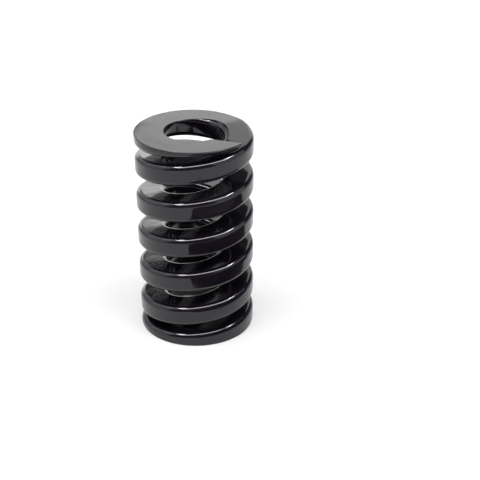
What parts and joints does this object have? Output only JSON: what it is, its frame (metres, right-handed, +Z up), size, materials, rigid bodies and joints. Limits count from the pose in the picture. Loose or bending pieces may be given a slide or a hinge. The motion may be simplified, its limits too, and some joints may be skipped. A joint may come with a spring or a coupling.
{
  "type": "die spring",
  "caption": "Heavy helical compression spring of rectangular wire with closed, flat-ground ends, painted black.",
  "frame": {"origin": "centre of the lower ground face, on the axis of the spring", "axes": "+Z up the axis of the spring; the upper wire tip lies 35 degrees clockwise of +X seen from above; -Y faces the viewer"},
  "size_m": [0.025, 0.025, 0.045],
  "materials": {
    "spring_paint": "gloss"
  },
  "bodies": {
    "root": {"die_spring": "spring_paint"}
  },
  "joints": []
}
